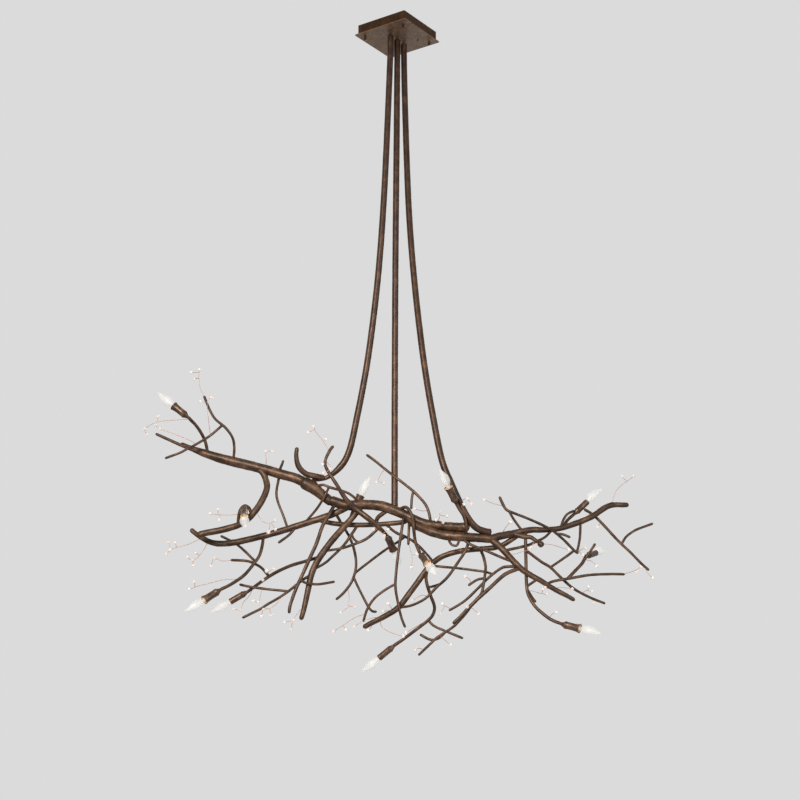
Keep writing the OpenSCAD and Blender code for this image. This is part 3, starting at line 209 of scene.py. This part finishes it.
finishes = {
    "branch": forgedBronze("branchBronze", "1c130c", "37271b", "5c4635", "grainWay", (0.36, 0.54), 0.28),
    # the stems take a darker copy of the branch bronze: painted shade for the dimmer light near the canopy
    "stem": forgedBronze("stemBronzePaintedShade", "20150d", "301f14", "4a3525", "grainWay", (0.34, 0.5), 0.28),
    # the canopy's bronze comes in two copies: the box's darker copy is painted shade on its sides, and the
    # plate's lighter copy is painted light on the underside that faces the camera
    "canopy": forgedBronze("canopyBronzePaintedShade", "26180d", "342213", "46301d", None, (0.5, 0.66), 0.12),
    "under": forgedBronze("plateBronzePaintedLight", "543f2e", "66503d", "7c6450", None, (0.5, 0.66), 0.12),
    "cup": forgedBronze("cupBronze", "241910", "3f2e22", "665041", None, (0.3, 0.44)),
    "tan": matteBody("tanSleeve", "c79a63", "e2bb88"),
    "brass": plainMetal("brassBase", "a98442", "d6b269", 0.3),
    "steel": plainMetal("zincSteel", "8f9295", "b9bcc0", 0.35),
    "copper": plainMetal("copperWire", "8a6656", "b08d7e", 0.45, 300),
    "porcelain": matteBody("porcelainBlock", "ddd6c6", "efe9db", 0.3),
    "lead": matteBody("leadCover", "cfc5b2", "ded5c4", 0.5),
    # the bulbs are unlit: their glow is painted light that brightens the shaded side of the glass
    "bulbGlass": hazyGlass("bulbGlass", "9fa1a1", "a8aaaa", 0.34, 0.3, paintedGlow=0.34),
    "crystal": hazyGlass("beadCrystal", "cdc1bd", "dcd6d4", 0.12, 0.5, coat=0.3),
}
print("finishes made:", len(finishes))


# lengths and shares within which two things of a CAD mesh count as the same
sameSet = {"place": 2e-6, "normal": 0.004, "radius": 0.03, "edge": 1.03, "ballPoints": 100, "pole": 1e-6}


def takeOff(node):
    # a merged copy of a CAD node's mesh, which comes as loose triangles
    mesh = bmesh.new()
    mesh.from_mesh(cadNodes[node].data)
    bmesh.ops.remove_doubles(mesh, verts=mesh.verts, dist=sameSet["place"])
    return mesh


def middleOf(verts):
    return sum((vert.co for vert in verts), Vector()) / len(verts)


def cornersOf(points):
    # the low and high corner of the box round some points
    low = Vector([min(point[i] for point in points) for i in range(3)])
    high = Vector([max(point[i] for point in points) for i in range(3)])
    return low, high


def islands(mesh):
    # the separate solids of a mesh, as lists of vertices
    seen, groups = set(), []
    for start in mesh.verts:
        if start in seen:
            continue
        stack, group = [start], []
        seen.add(start)
        while stack:
            vert = stack.pop()
            group.append(vert)
            for edge in vert.link_edges:
                other = edge.other_vert(vert)
                if other not in seen:
                    seen.add(other)
                    stack.append(other)
        groups.append(group)
    return groups


def regular(verts):
    # the middle and radius of a ring of vertices, or nothing if they don't lie on one circle
    middle = middleOf(verts)
    reach = [(vert.co - middle).length for vert in verts]
    if max(reach) - min(reach) > sameSet["radius"] * max(reach):
        return None
    return middle, sum(reach) / len(reach)


def flatGroups(group):
    # neighbouring triangles that lie in one plane, with the vertices of each such patch
    left = {face for vert in group for face in vert.link_faces}
    while left:
        stack = [left.pop()]
        flat = []
        while stack:
            face = stack.pop()
            flat.append(face)
            for edge in face.edges:
                for other in edge.link_faces:
                    if other in left and (other.normal - face.normal).length < sameSet["normal"]:
                        left.remove(other)
                        stack.append(other)
        yield flat, {vert for face in flat for vert in face.verts}


def endFaces(group, sides):
    # a bar's two ends: flat patches with a regular rim
    found = []
    for flat, rim in flatGroups(group):
        if len(flat) != sides - 2 or len(rim) != sides or not regular(rim):
            continue
        lengths = [edge.calc_length() for face in flat for edge in face.edges
                   if sum(other in flat for other in edge.link_faces) == 1]
        if max(lengths) < sameSet["edge"] * min(lengths):
            found.append(rim)
    return found


def walkRings(ring, used, sides):
    # steps from ring to ring while they are regular: their middles and radii, and the ring that ended it
    rings = []
    while ring:
        found = regular(ring) if len(ring) == sides else None
        if not found:
            break
        rings.append(found)
        used |= ring
        ring = {edge.other_vert(vert) for vert in ring for edge in vert.link_edges} - used
    return rings, ring


def traceBar(group, sides):
    # walks from one end of a bar to the other: the rings' middles and radii, and the vertices left over
    ends = endFaces(group, sides)
    if not ends:
        return [], group
    used = set()
    rings, last = walkRings(set(ends[0]), used, sides)
    if last:
        rings.append((middleOf(last), rings[-1][1]))
    return rings, [vert for vert in group if vert not in used]


def tubeOf(node, sides):
    # the outer rings of a tube, walked up from its open foot
    mesh = takeOff(node)
    best = []
    for group in islands(mesh):
        for flat, rim in flatGroups(group):
            if len(rim) == 2 * sides:
                middle = middleOf(rim)
                outward = sorted(rim, key=lambda vert: (vert.co - middle).length)
                rings = walkRings(set(outward[sides:]), set(outward[:sides]), sides)[0]
                best = max(best, rings, key=len)
    mesh.free()
    return best


def barsOf(node, *sides):
    # all bars of a node, and what is no bar, such as a ball
    mesh = takeOff(node)
    bars, rest = [], []
    for group in islands(mesh):
        rings, left = max((traceBar(group, count) for count in sides), key=lambda found: len(found[0]))
        if len(rings) > 1:
            bars.append(rings)
        if left:
            rest.append([vert.co.copy() for vert in left])
    mesh.free()
    return bars, rest


def ballAsBar(points):
    # a ball forged on the end of a bar, as a short bar that swells and closes
    low, high = cornersOf(points)
    reach = (high - low).z / 2
    turns = [-1 + i / 5 for i in range(11)]
    return [((low + high) / 2 + Vector((0, 0, reach * turn)), reach * math.sqrt(max(1 - turn * turn, 0.01)))
            for turn in turns]


# branches: a node tree grows a round, uneven bar along each line
branchSet = {"step": 0.0035, "sides": 14, "swell": 1.0, "knot": 0.0011, "knotScale": 34.0,
             "knotDetail": 2.0, "hammer": 0.00035, "hammerScale": 150.0, "hammerDetail": 1.0,
             "hammerSeed": 7.0, "endRound": 0.9, "endLeft": 0.16, "grainRound": 0.012, "seed": 4}


def inputOf(tree, name, kind, value):
    socket = tree.interface.new_socket(name=name, in_out="INPUT", socket_type=kind)
    if value is not None and kind != "NodeSocketMaterial":
        socket.default_value = value
    return socket


def branchTree():
    tree = bpy.data.node_groups.new("growBranch", "GeometryNodeTree")
    tree.is_modifier = True
    tree.interface.new_socket(name="Lines", in_out="INPUT", socket_type="NodeSocketGeometry")
    inputOf(tree, "Step", "NodeSocketFloat", branchSet["step"])
    inputOf(tree, "Sides", "NodeSocketInt", branchSet["sides"])
    inputOf(tree, "Swell", "NodeSocketFloat", branchSet["swell"])
    inputOf(tree, "Knot", "NodeSocketFloat", branchSet["knot"])
    inputOf(tree, "Knot Scale", "NodeSocketFloat", branchSet["knotScale"])
    inputOf(tree, "Hammer", "NodeSocketFloat", branchSet["hammer"])
    inputOf(tree, "Hammer Scale", "NodeSocketFloat", branchSet["hammerScale"])
    inputOf(tree, "End Round", "NodeSocketFloat", branchSet["endRound"])
    inputOf(tree, "Seed", "NodeSocketFloat", float(branchSet["seed"]))
    inputOf(tree, "Finish", "NodeSocketMaterial", None)
    tree.interface.new_socket(name="Branch", in_out="OUTPUT", socket_type="NodeSocketGeometry")
    add, join = tree.nodes.new, tree.links.new
    given = add("NodeGroupInput").outputs
    result = add("NodeGroupOutput")

    def calc(operation, a, b):
        # a math node on two numbers or sockets
        node = add("ShaderNodeMath")
        node.operation = operation
        for socket, value in zip(node.inputs, (a, b)):
            if isinstance(value, (int, float)):
                socket.default_value = value
            else:
                join(value, socket)
        return node.outputs[0]

    curve = add("GeometryNodeMeshToCurve")
    join(given["Lines"], curve.inputs["Mesh"])
    spline = add("GeometryNodeCurveSplineType")
    spline.spline_type = "CATMULL_ROM"
    join(curve.outputs["Curve"], spline.inputs["Curve"])
    sampled = add("GeometryNodeResampleCurve")
    join(spline.outputs["Curve"], sampled.inputs["Curve"])
    sampled.mode = "LENGTH"
    join(given["Step"], sampled.inputs["Length"])
    thickness = add("GeometryNodeInputNamedAttribute")
    thickness.data_type = "FLOAT"
    thickness.inputs["Name"].default_value = "thickness"
    along = add("GeometryNodeSplineParameter")
    whole = add("GeometryNodeSplineLength")
    # the last few millimetres of each end are rounded off
    thick = thickness.outputs["Attribute"]
    far = along.outputs["Length"]
    toEnd = calc("MINIMUM", far, calc("SUBTRACT", whole.outputs["Length"], far))
    roundedPart = calc("MULTIPLY", thick, given["End Round"])
    inward = calc("SUBTRACT", 1.0, calc("MINIMUM", calc("DIVIDE", toEnd, roundedPart), 1.0))
    circleHeight = calc("SUBTRACT", 1.0, calc("MULTIPLY", inward, inward))
    rounded = calc("SQRT", calc("MAXIMUM", circleHeight, branchSet["endLeft"]), 0.0)
    radius = add("GeometryNodeSetCurveRadius")
    join(sampled.outputs["Curve"], radius.inputs["Curve"])
    join(calc("MULTIPLY", calc("MULTIPLY", thick, given["Swell"]), rounded), radius.inputs["Radius"])
    keepLength = add("GeometryNodeStoreNamedAttribute")
    keepLength.data_type = "FLOAT"
    keepLength.domain = "POINT"
    keepLength.inputs["Name"].default_value = "lengthWay"
    join(radius.outputs["Curve"], keepLength.inputs["Geometry"])
    join(far, keepLength.inputs["Value"])
    circle = add("GeometryNodeCurvePrimitiveCircle")
    join(given["Sides"], circle.inputs["Resolution"])
    circle.inputs["Radius"].default_value = 1.0
    skin = add("GeometryNodeCurveToMesh")
    join(keepLength.outputs["Geometry"], skin.inputs["Curve"])
    join(circle.outputs["Curve"], skin.inputs["Profile Curve"])
    skin.inputs["Fill Caps"].default_value = True
    join(add("GeometryNodeInputRadius").outputs["Radius"], skin.inputs["Scale"])
    position = add("GeometryNodeInputPosition")
    normal = add("GeometryNodeInputNormal")

    def bumps(scale, detail, ownSeed):
        noise = add("ShaderNodeTexNoise")
        noise.noise_dimensions = "4D"
        join(position.outputs[0], noise.inputs["Vector"])
        join(calc("ADD", given["Seed"], ownSeed), noise.inputs["W"])
        join(scale, noise.inputs["Scale"])
        noise.inputs["Detail"].default_value = detail
        return calc("SUBTRACT", noise.outputs["Fac"], 0.5)

    knotNoise = bumps(given["Knot Scale"], branchSet["knotDetail"], 0.0)
    knots = calc("MULTIPLY", knotNoise, given["Knot"])
    hammerNoise = bumps(given["Hammer Scale"], branchSet["hammerDetail"], branchSet["hammerSeed"])
    marks = calc("MULTIPLY", hammerNoise, given["Hammer"])
    move = add("ShaderNodeVectorMath")
    move.operation = "SCALE"
    join(normal.outputs[0], move.inputs[0])
    join(calc("MULTIPLY", calc("ADD", knots, marks), 2.0), move.inputs["Scale"])
    shift = add("GeometryNodeSetPosition")
    join(skin.outputs["Mesh"], shift.inputs["Geometry"])
    join(move.outputs["Vector"], shift.inputs["Offset"])
    # where a point lies along and round the bar, for the streaks of the finish
    lengthWay = add("GeometryNodeInputNamedAttribute")
    lengthWay.data_type = "FLOAT"
    lengthWay.inputs["Name"].default_value = "lengthWay"
    joined = add("ShaderNodeCombineXYZ")
    join(lengthWay.outputs["Attribute"], joined.inputs["X"])
    split = add("ShaderNodeSeparateXYZ")
    join(normal.outputs[0], split.inputs[0])
    join(calc("MULTIPLY", split.outputs["Z"], branchSet["grainRound"]), joined.inputs["Y"])
    join(calc("MULTIPLY", split.outputs["X"], branchSet["grainRound"]), joined.inputs["Z"])
    keepGrain = add("GeometryNodeStoreNamedAttribute")
    keepGrain.data_type = "FLOAT_VECTOR"
    keepGrain.domain = "POINT"
    keepGrain.inputs["Name"].default_value = "grainWay"
    join(shift.outputs["Geometry"], keepGrain.inputs["Geometry"])
    join(joined.outputs["Vector"], keepGrain.inputs["Value"])
    smooth = add("GeometryNodeSetShadeSmooth")
    join(keepGrain.outputs["Geometry"], smooth.inputs["Geometry"])
    real = add("GeometryNodeRealizeInstances")
    join(smooth.outputs["Geometry"], real.inputs["Geometry"])
    painted = add("GeometryNodeSetMaterial")
    join(real.outputs["Geometry"], painted.inputs["Geometry"])
    join(given["Finish"], painted.inputs["Material"])
    join(painted.outputs["Geometry"], result.inputs[0])
    return tree


def runTree(name, tree, source, values, body="frame"):
    # runs a node tree on a mesh and keeps the plain result
    carrier = bpy.data.objects.new(name, source)
    scene.collection.objects.link(carrier)
    modifier = carrier.modifiers.new("grow", "NODES")
    modifier.node_group = tree
    for item in tree.interface.items_tree:
        if item.item_type == "SOCKET" and item.in_out == "INPUT" and item.name in values:
            modifier[item.identifier] = values[item.name]
    shown = carrier.evaluated_get(bpy.context.evaluated_depsgraph_get())
    plain = bpy.data.meshes.new_from_object(shown)
    carrier.modifiers.remove(modifier)
    carrier.data = plain
    plain.name = name
    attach(carrier, body)
    return carrier


def polyline(name, bars):
    mesh = bpy.data.meshes.new(name + "Lines")
    points, edges, radii = [], [], []
    for rings in bars:
        first = len(points)
        points += [tuple(middle) for middle, radius in rings]
        radii += [radius for middle, radius in rings]
        edges += [(first + i, first + i + 1) for i in range(len(rings) - 1)]
    mesh.from_pydata(points, edges, [])
    mesh.attributes.new("thickness", "FLOAT", "POINT").data.foreach_set("value", radii)
    return mesh


grow = branchTree()
# how many sides the CAD bars of each node have
branchNodes = {"trunk_left": [12], "trunk_center": [12], "trunk_right": [10], "trunk_lower": [10],
               "hook_limb": [8], "low_left_limb": [8], "crossing_limb": [8], "drop_limb": [8],
               "tie_limb": [8], "long_limb": [8], "low_right_limb": [8], "short_limbs": [8, 6],
               "lamp_arms": [6],
               "left_twigs": [6], "center_twigs": [6], "right_twigs": [6], "side_twigs": [6]}
# the thick bars carry the deepest knots
roughNodes = {"trunk_left": 1.5, "trunk_center": 2.2, "trunk_right": 1.8, "trunk_lower": 1.5,
              "low_left_limb": 1.3, "side_twigs": 0.6, "left_twigs": 0.7, "center_twigs": 0.7,
              "right_twigs": 0.7, "lamp_arms": 0.6}
for number, (node, sides) in enumerate(branchNodes.items()):
    bars, rest = barsOf(node, *sides)
    bars += [ballAsBar(points) for points in rest if len(points) > sameSet["ballPoints"]]
    rough = roughNodes.get(node, 1.0)
    piece = runTree(node + "_forged", grow, polyline(node, bars),
                    {"Finish": finishes["branch"], "Seed": float(branchSet["seed"] + number),
                     "Knot": branchSet["knot"] * rough, "Hammer": branchSet["hammer"] * rough})
    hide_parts(node)
    print(node, len(bars), "bars,", len(piece.data.polygons), "faces")

# the wide wrap where the left and middle trunks meet, rougher than the trunks
sleeveSet = {"cadSides": 12, "knot": 0.0016, "hammer": 0.0006}
piece = runTree("sleeve_wrap", grow, polyline("sleeve", barsOf("trunk_sleeve", sleeveSet["cadSides"])[0]),
                {"Finish": finishes["branch"], "Knot": sleeveSet["knot"], "Hammer": sleeveSet["hammer"]})
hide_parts("trunk_sleeve")

# stems: round smooth tubes with a collar under the canopy plate
stemSet = {"nodes": ["stem_left", "stem_center", "stem_right"], "cadSides": 10, "top": -0.041, "sides": 28,
           "wave": 0.0004, "hammer": 0.0002, "endRound": 0.05, "collar": 0.0125, "collarTop": -0.0385,
           "collarShape": [(0, 0.98), (0.0015, 1), (0.0045, 1), (0.0058, 0.96), (0.0064, 0.89)]}
for node in stemSet["nodes"]:
    rings = tubeOf(node, stemSet["cadSides"])
    x, y = rings[-1][0][:2]
    tube = rings + [(Vector((x, y, stemSet["top"])), rings[-1][1])]
    collar = [(Vector((x, y, stemSet["collarTop"] - lower)), stemSet["collar"] * share)
              for lower, share in stemSet["collarShape"]]
    piece = runTree(node + "_tube", grow, polyline(node, [tube, collar]),
                    {"Finish": finishes["stem"], "Knot": stemSet["wave"], "Hammer": stemSet["hammer"],
                     "Sides": stemSet["sides"], "End Round": stemSet["endRound"]})
    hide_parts(node)
    print(node, len(rings), "rings")


# crystal beads: cut beads set on the centres of the CAD beads
beadSet = {"share": 0.99, "seed": 11, "cuts": 2, "turn": 6.28}


def beadTree():
    tree = bpy.data.node_groups.new("setBeads", "GeometryNodeTree")
    tree.is_modifier = True
    tree.interface.new_socket(name="Places", in_out="INPUT", socket_type="NodeSocketGeometry")
    inputOf(tree, "Share", "NodeSocketFloat", beadSet["share"])
    inputOf(tree, "Seed", "NodeSocketInt", beadSet["seed"])
    inputOf(tree, "Finish", "NodeSocketMaterial", None)
    tree.interface.new_socket(name="Beads", in_out="OUTPUT", socket_type="NodeSocketGeometry")
    add, join = tree.nodes.new, tree.links.new
    given = add("NodeGroupInput").outputs
    result = add("NodeGroupOutput")
    ball = add("GeometryNodeMeshIcoSphere")
    ball.inputs["Subdivisions"].default_value = beadSet["cuts"]
    ball.inputs["Radius"].default_value = 1.0
    points = add("GeometryNodeMeshToPoints")
    join(given["Places"], points.inputs["Mesh"])
    size = add("GeometryNodeInputNamedAttribute")
    size.data_type = "FLOAT"
    size.inputs["Name"].default_value = "thickness"
    scaled = add("ShaderNodeMath")
    scaled.operation = "MULTIPLY"
    join(size.outputs["Attribute"], scaled.inputs[0])
    join(given["Share"], scaled.inputs[1])
    turn = add("FunctionNodeRandomValue")
    turn.data_type = "FLOAT_VECTOR"
    turn.inputs["Max"].default_value = [beadSet["turn"]] * 3
    join(given["Seed"], turn.inputs["Seed"])
    placed = add("GeometryNodeInstanceOnPoints")
    join(points.outputs["Points"], placed.inputs["Points"])
    join(ball.outputs["Mesh"], placed.inputs["Instance"])
    join(turn.outputs["Value"], placed.inputs["Rotation"])
    join(scaled.outputs[0], placed.inputs["Scale"])
    flat = add("GeometryNodeSetShadeSmooth")
    flat.inputs["Shade Smooth"].default_value = False
    real = add("GeometryNodeRealizeInstances")
    join(placed.outputs["Instances"], real.inputs["Geometry"])
    join(real.outputs["Geometry"], flat.inputs["Geometry"])
    painted = add("GeometryNodeSetMaterial")
    join(flat.outputs["Geometry"], painted.inputs["Geometry"])
    join(given["Finish"], painted.inputs["Material"])
    join(painted.outputs["Geometry"], result.inputs[0])
    return tree


beadMesh = takeOff("crystal_beads")
beadPlaces = []
for group in islands(beadMesh):
    low, high = cornersOf([vert.co for vert in group])
    beadPlaces.append([((low + high) / 2, (high - low).x / 2)])
beadMesh.free()
piece = runTree("crystal_cut", beadTree(), polyline("beads", beadPlaces), {"Finish": finishes["crystal"]})
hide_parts("crystal_beads")
print("beads set:", len(beadPlaces))

# crystal wires: drawn again as round wire along the centre lines of the CAD's thin bars
wireSet = {"radius": 0.0008, "near": 0.0022, "sides": 8, "step": 0.003}


def spotsOf(group):
    # gathers the vertices of a bent wire round its ends and bends: the spots, and the spot of each vertex
    spots, owner = [], {}
    for vert in group:
        near = next((i for i, (middle, count) in enumerate(spots)
                     if (middle - vert.co).length < wireSet["near"]), None)
        if near is None:
            near = len(spots)
            spots.append([vert.co.copy(), 0])
        spot = spots[near]
        spot[0] = (spot[0] * spot[1] + vert.co) / (spot[1] + 1)
        spot[1] += 1
        owner[vert] = near
    return [middle for middle, count in spots], owner


def centreLines(group):
    # the ends and bends of one wire and the pairs of them that are joined, without closed rounds
    middles, owner = spotsOf(group)
    ends = {tuple(sorted(owner[vert] for vert in edge.verts)) for start in group for edge in start.link_edges}
    byLength = sorted(sorted(ends), key=lambda pair: (middles[pair[0]] - middles[pair[1]]).length)
    root = list(range(len(middles)))
    joined = []
    for first, last in byLength:
        if root[first] != root[last]:
            joined.append((first, last))
            root = [root[first] if value == root[last] else value for value in root]
    return middles, joined


def straightOn(middles, before, here, choices):
    # of the links that leave a fork, the one that bends least
    way = middles[here] - middles[before]
    return max(choices, key=lambda i: (middles[i] - middles[here]).normalized().dot(way))


def wireRuns(middles, pairs):
    # cuts a tree of links into runs from fork to fork
    left = {i: set() for i in range(len(middles))}
    for first, last in pairs:
        left[first].add(last)
        left[last].add(first)
    runs = []
    while any(left.values()):
        run = [next(i for i in left if len(left[i]) == 1)]
        while left[run[-1]]:
            here = run[-1]
            choices = left[here]
            onward = straightOn(middles, run[-2], here, choices) if len(run) > 1 else next(iter(choices))
            left[here].discard(onward)
            left[onward].discard(here)
            run.append(onward)
        runs.append([(middles[i], wireSet["radius"]) for i in run])
    return runs


wireMesh = takeOff("crystal_wires")
wireLines = [run for group in islands(wireMesh) for run in wireRuns(*centreLines(group))]
wireMesh.free()
piece = runTree("crystal_wire_drawn", grow, polyline("wires", wireLines),
                {"Finish": finishes["copper"], "Step": wireSet["step"], "Sides": wireSet["sides"],
                 "Knot": 0.0, "Hammer": 0.0})
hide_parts("crystal_wires")
print("wires drawn:", len(wireLines))


def lathe(mesh, outline, sides, bendAt=None):
    # revolves (radius, height) pairs about Z; bendAt moves a height sideways
    rings = []
    for radius, height in outline:
        side = bendAt(height) if bendAt else 0.0
        spots = [(side, 0, height)]
        if radius > sameSet["pole"]:
            angles = [2 * math.pi * i / sides for i in range(sides)]
            spots = [(side + radius * math.cos(angle), radius * math.sin(angle), height) for angle in angles]
        rings.append([mesh.verts.new(spot) for spot in spots])
    for lower, upper in zip(rings, rings[1:]):
        for i in range(sides):
            j = (i + 1) % sides
            a, b = lower[i % len(lower)], lower[j % len(lower)]
            c, d = upper[j % len(upper)], upper[i % len(upper)]
            corners = list(dict.fromkeys([a, b, c, d]))
            if len(corners) > 2:
                mesh.faces.new(corners)


def standAt(mesh, place, aim, spin=0.0):
    # moves a turned shape to its place and along its axis
    upright = aim.to_track_quat("Z", "Y").to_matrix().to_4x4()
    turn = Matrix.Translation(place) @ upright @ Matrix.Rotation(spin, 4, "Z")
    bmesh.ops.transform(mesh, matrix=turn, verts=mesh.verts)


def newPiece(name, mesh, finish, body):
    bmesh.ops.recalc_face_normals(mesh, faces=mesh.faces)
    data = bpy.data.meshes.new(name)
    mesh.to_mesh(data)
    mesh.free()
    for face in data.polygons:
        face.use_smooth = True
    data.materials.append(finish)
    piece = bpy.data.objects.new(name, data)
    scene.collection.objects.link(piece)
    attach(piece, body)
    return piece


# lamp cups: spun tubes with a shoulder behind and, on most, a flared mouth
cupSet = {"sides": 48, "wall": 0.0011, "body": 0.012, "shoulder": 1.06, "plainMouth": 0.0112,
          "rimDepth": 0.001}


def cupOutline(length, mouth):
    # radius and height from the tail to the mouth and back inside
    body = cupSet["body"] if mouth > cupSet["plainMouth"] else mouth
    flare = mouth - body
    shoulder = body * cupSet["shoulder"]
    bore = body - cupSet["wall"]
    tail = [(0.0, 0.0), (0.0052, 0.0002), (0.0064, 0.0022), (0.0072, 0.0045), (body * 0.86, 0.0105)]
    swell = [(body * 0.99, 0.0128), (shoulder, 0.0142), (shoulder, 0.0164), (body, 0.0178)]
    barrel = [(body * 0.985, 0.026), (body * 0.99, length - 0.021), (body + flare * 0.12, length - 0.014)]
    bell = [(body + flare * 0.4, length - 0.008), (body + flare * 0.75, length - 0.0035)]
    lip = [(mouth, length - 0.0008), (mouth - 0.0002, length), (mouth - 0.0009, length - 0.0001)]
    inside = [(bore + flare * 0.75, length - 0.0037), (bore + flare * 0.4, length - 0.0082),
              (bore, length - 0.0155), (bore, 0.018), (0.0, 0.0172)]
    return tail + swell + barrel + bell + lip + inside


def cupSize(group, point, aim):
    # how far a CAD cup reaches behind and before the joint's point, and the radius of its mouth
    heights = [(vert.co - point).dot(aim) for vert in group]
    rim = max(heights)
    mouth = max((vert.co - point - aim * height).length for vert, height in zip(group, heights)
                if height > rim - cupSet["rimDepth"])
    return min(heights), rim, mouth


cupMesh = takeOff("socket_cups")
spun = bmesh.new()
mouths = []
for group in islands(cupMesh):
    middle = middleOf(group)
    joint = min(frame["joints"], key=lambda one: (Vector(one["pos_m"]) - middle).length)
    point, aim = Vector(joint["pos_m"]), Vector(joint["axis"]).normalized()
    tail, rim, mouth = cupSize(group, point, aim)
    mouths.append(round(mouth * 1000, 1))
    one = bmesh.new()
    lathe(one, cupOutline(rim - tail, mouth), cupSet["sides"])
    standAt(one, point + aim * tail, aim)
    oneData = bpy.data.meshes.new("oneCup")
    one.to_mesh(oneData)
    one.free()
    spun.from_mesh(oneData)
    bpy.data.meshes.remove(oneData)
cupMesh.free()
piece = newPiece("socket_cup_spun", spun, finishes["cup"], "frame")
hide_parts("socket_cups")
print("cups spun:", len(mouths), "mouths", sorted(mouths))


# candle bulbs: hollow glass with a belly and a long tip, bent a little to one side;
# the outline gives shares of the length and of the way from neck to belly
bulbSet = {"length": 0.084, "belly": 0.0155, "neck": 0.00555, "wall": 0.0008, "thinnest": 0.0006,
           "tipWall": 0.001, "bend": 0.024, "bendFrom": 0.6, "sides": 40,
           "outline": [(0, 0), (.06, .0), (.12, .05), (.17, .15), (.22, .34), (.28, .6), (.35, .85),
                       (.42, .98), (.47, 1), (.55, .93), (.66, .7), (.77, .36), (.86, .06), (.93, -.18),
                       (.985, -.4)]}


def bulbBend(height):
    past = max(0.0, height / bulbSet["length"] - bulbSet["bendFrom"])
    return bulbSet["bend"] * past ** 2


def bulbGlass(number, seat, aim):
    neck, swell = bulbSet["neck"], bulbSet["belly"] - bulbSet["neck"]
    outside = [(neck + out * swell, along * bulbSet["length"]) for along, out in bulbSet["outline"]]
    inside = [(max(radius - bulbSet["wall"], bulbSet["thinnest"]), height) for radius, height in outside[:-1]]
    outside.append((0, bulbSet["length"]))
    inside.append((0, inside[-1][1] + bulbSet["tipWall"]))
    spin = random.Random(number).uniform(0, 2 * math.pi)
    mesh = bmesh.new()
    lathe(mesh, outside + inside[::-1], bulbSet["sides"], bulbBend)
    bmesh.ops.remove_doubles(mesh, verts=mesh.verts, dist=sameSet["pole"])
    standAt(mesh, seat, aim, spin)
    return mesh


for joint in frame["joints"]:
    number = int(joint["child"].split("_")[1])
    aim = Vector(joint["axis"]).normalized()
    point = Vector(joint["pos_m"])
    solid = cadNodes["bulb_%d_glass" % number]
    low = min((vert.co - point).dot(aim) for vert in solid.data.vertices)
    glass = bulbGlass(number, point + aim * low, aim)
    piece = newPiece("bulb_%d_flame" % number, glass, finishes["bulbGlass"], joint["child"])
    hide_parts("bulb_%d_glass" % number)

# finishes of the CAD pieces that stay
kept = {"ceiling_bracket": "steel", "small_screws": "canopy", "terminal_block": "porcelain",
        "lead_wires": "lead", "canopy_studs": "steel", "canopy_box": "canopy", "canopy_plate": "under",
        "thumb_nuts": "canopy", "stem_locknuts": "brass", "socket_inserts": "tan",
        "socket_contacts": "brass"}
for number in range(1, len(frame["joints"]) + 1):
    kept["bulb_%d_base" % number] = "brass"
for node, finish in kept.items():
    for materialSlot in cadNodes[node].material_slots:
        materialSlot.material = finishes[finish]
print("CAD pieces painted:", len(kept))


# stage: a pale floor and an even pale backdrop that only the camera and reflections see
stageSet = {"floor": -2.9, "half": 9.0, "floorDark": "d4d4d4", "floorLight": "dcdcdc",
            "floorRough": 0.8, "floorGrain": 3, "backdrop": "dbdbdb", "fill": "f2f4f8", "fillStrength": 0.38}


def paleFloor():
    half, low = stageSet["half"], stageSet["floor"]
    corners = [(-half, -half, low), (half, -half, low), (half, half, low), (-half, half, low)]
    floorMesh = bpy.data.meshes.new("floor")
    floorMesh.from_pydata(corners, [], [(0, 1, 2, 3)])
    floorMesh.materials.append(matteBody("floorPaint", stageSet["floorDark"], stageSet["floorLight"],
                                         stageSet["floorRough"], stageSet["floorGrain"]))
    floor = bpy.data.objects.new("floor", floorMesh)
    scene.collection.objects.link(floor)


def paleBackdrop():
    world = bpy.data.worlds.new("paleStudio")
    scene.world = world
    world.use_nodes = True
    sky = world.node_tree
    sky.nodes.clear()
    add, join = sky.nodes.new, sky.links.new
    path = add("ShaderNodeLightPath")
    seen = path.outputs["Is Camera Ray"]
    for ray in ("Is Glossy Ray", "Is Transmission Ray"):
        either = add("ShaderNodeMath")
        either.operation = "MAXIMUM"
        join(seen, either.inputs[0])
        join(path.outputs[ray], either.inputs[1])
        seen = either.outputs[0]
    shown = add("ShaderNodeBackground")
    shown.inputs["Color"].default_value = linearOf(stageSet["backdrop"])
    fill = add("ShaderNodeBackground")
    fill.inputs["Color"].default_value = linearOf(stageSet["fill"])
    fill.inputs["Strength"].default_value = stageSet["fillStrength"]
    mix = add("ShaderNodeMixShader")
    join(seen, mix.inputs["Fac"])
    join(fill.outputs[0], mix.inputs[1])
    join(shown.outputs[0], mix.inputs[2])
    join(mix.outputs[0], add("ShaderNodeOutputWorld").inputs["Surface"])


paleFloor()
paleBackdrop()

# soft lights: a warm key from the left front, a fill from the right, a rim from behind
lightSet = {
    "keyLight": {"place": (-1.5, -4.2, -0.5), "aimAt": (0, 0, -1.8), "size": 1.1, "watts": 58,
                 "color": "fff0e0", "spread": 70},
    "fillLight": {"place": (2.8, -3.4, -0.8), "aimAt": (0, 0, -1.6), "size": 1.6, "watts": 90},
    "rimLight": {"place": (0.5, 3.2, -0.4), "aimAt": (0, 0, -1.6), "size": 2.0, "watts": 50},
}


def softLight(name, place, aimAt, size, watts, color="ffffff", spread=180):
    data = bpy.data.lights.new(name, "AREA")
    data.size = size
    data.energy = watts
    data.color = linearOf(color)[:3]
    data.spread = math.radians(spread)
    lamp = bpy.data.objects.new(name, data)
    lamp.location = place
    lamp.rotation_euler = (Vector(aimAt) - Vector(place)).to_track_quat("-Z", "Y").to_euler()
    scene.collection.objects.link(lamp)


for name, settings in lightSet.items():
    softLight(name, **settings)
print("stage and lights set")
